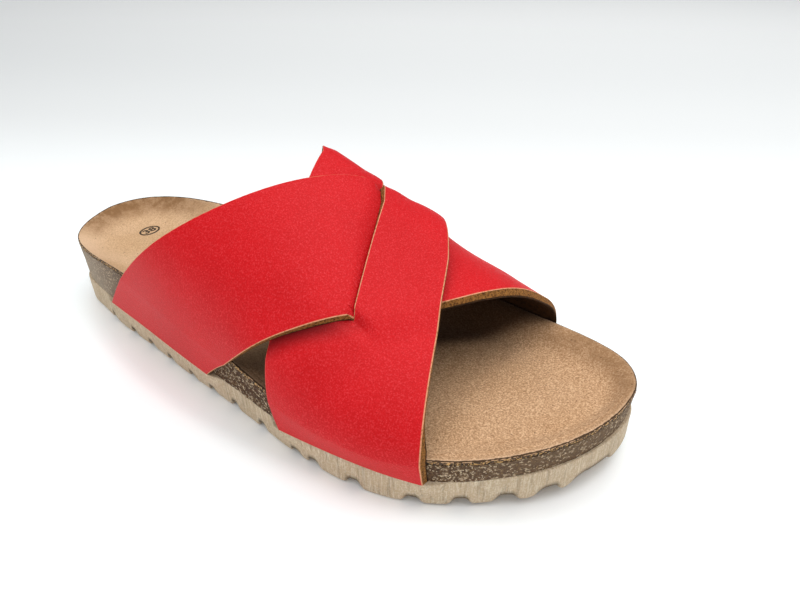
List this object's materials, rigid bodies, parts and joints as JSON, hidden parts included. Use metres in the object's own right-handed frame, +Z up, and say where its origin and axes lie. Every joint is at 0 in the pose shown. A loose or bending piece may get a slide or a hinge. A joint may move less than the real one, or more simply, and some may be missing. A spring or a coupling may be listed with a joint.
{
  "type": "sandal",
  "caption": "Slide sandal with crossed leather straps over an open toe and heel, a contoured suede footbed, a cork midsole and a foam outsole with a wavy tread.",
  "frame": {"origin": "on the floor, under the middle of the sandal's outer size", "axes": "+X to the toe, +Y to the inner side of the foot, +Z up"},
  "size_m": [0.2522, 0.0998, 0.0866],
  "materials": {
    "foam": "matt cream foam rubber with fine vertical sanding marks",
    "cork": "sanded dark cork with pale specks",
    "suede": "tan suede, soft and matt",
    "strap_leather": "fine grained red leather, satin, with raw tan cut edges"
  },
  "bodies": {
    "root": {"outsole": "foam", "cork_midsole": "cork", "footbed": "suede", "upper": "strap_leather"}
  },
  "joints": []
}
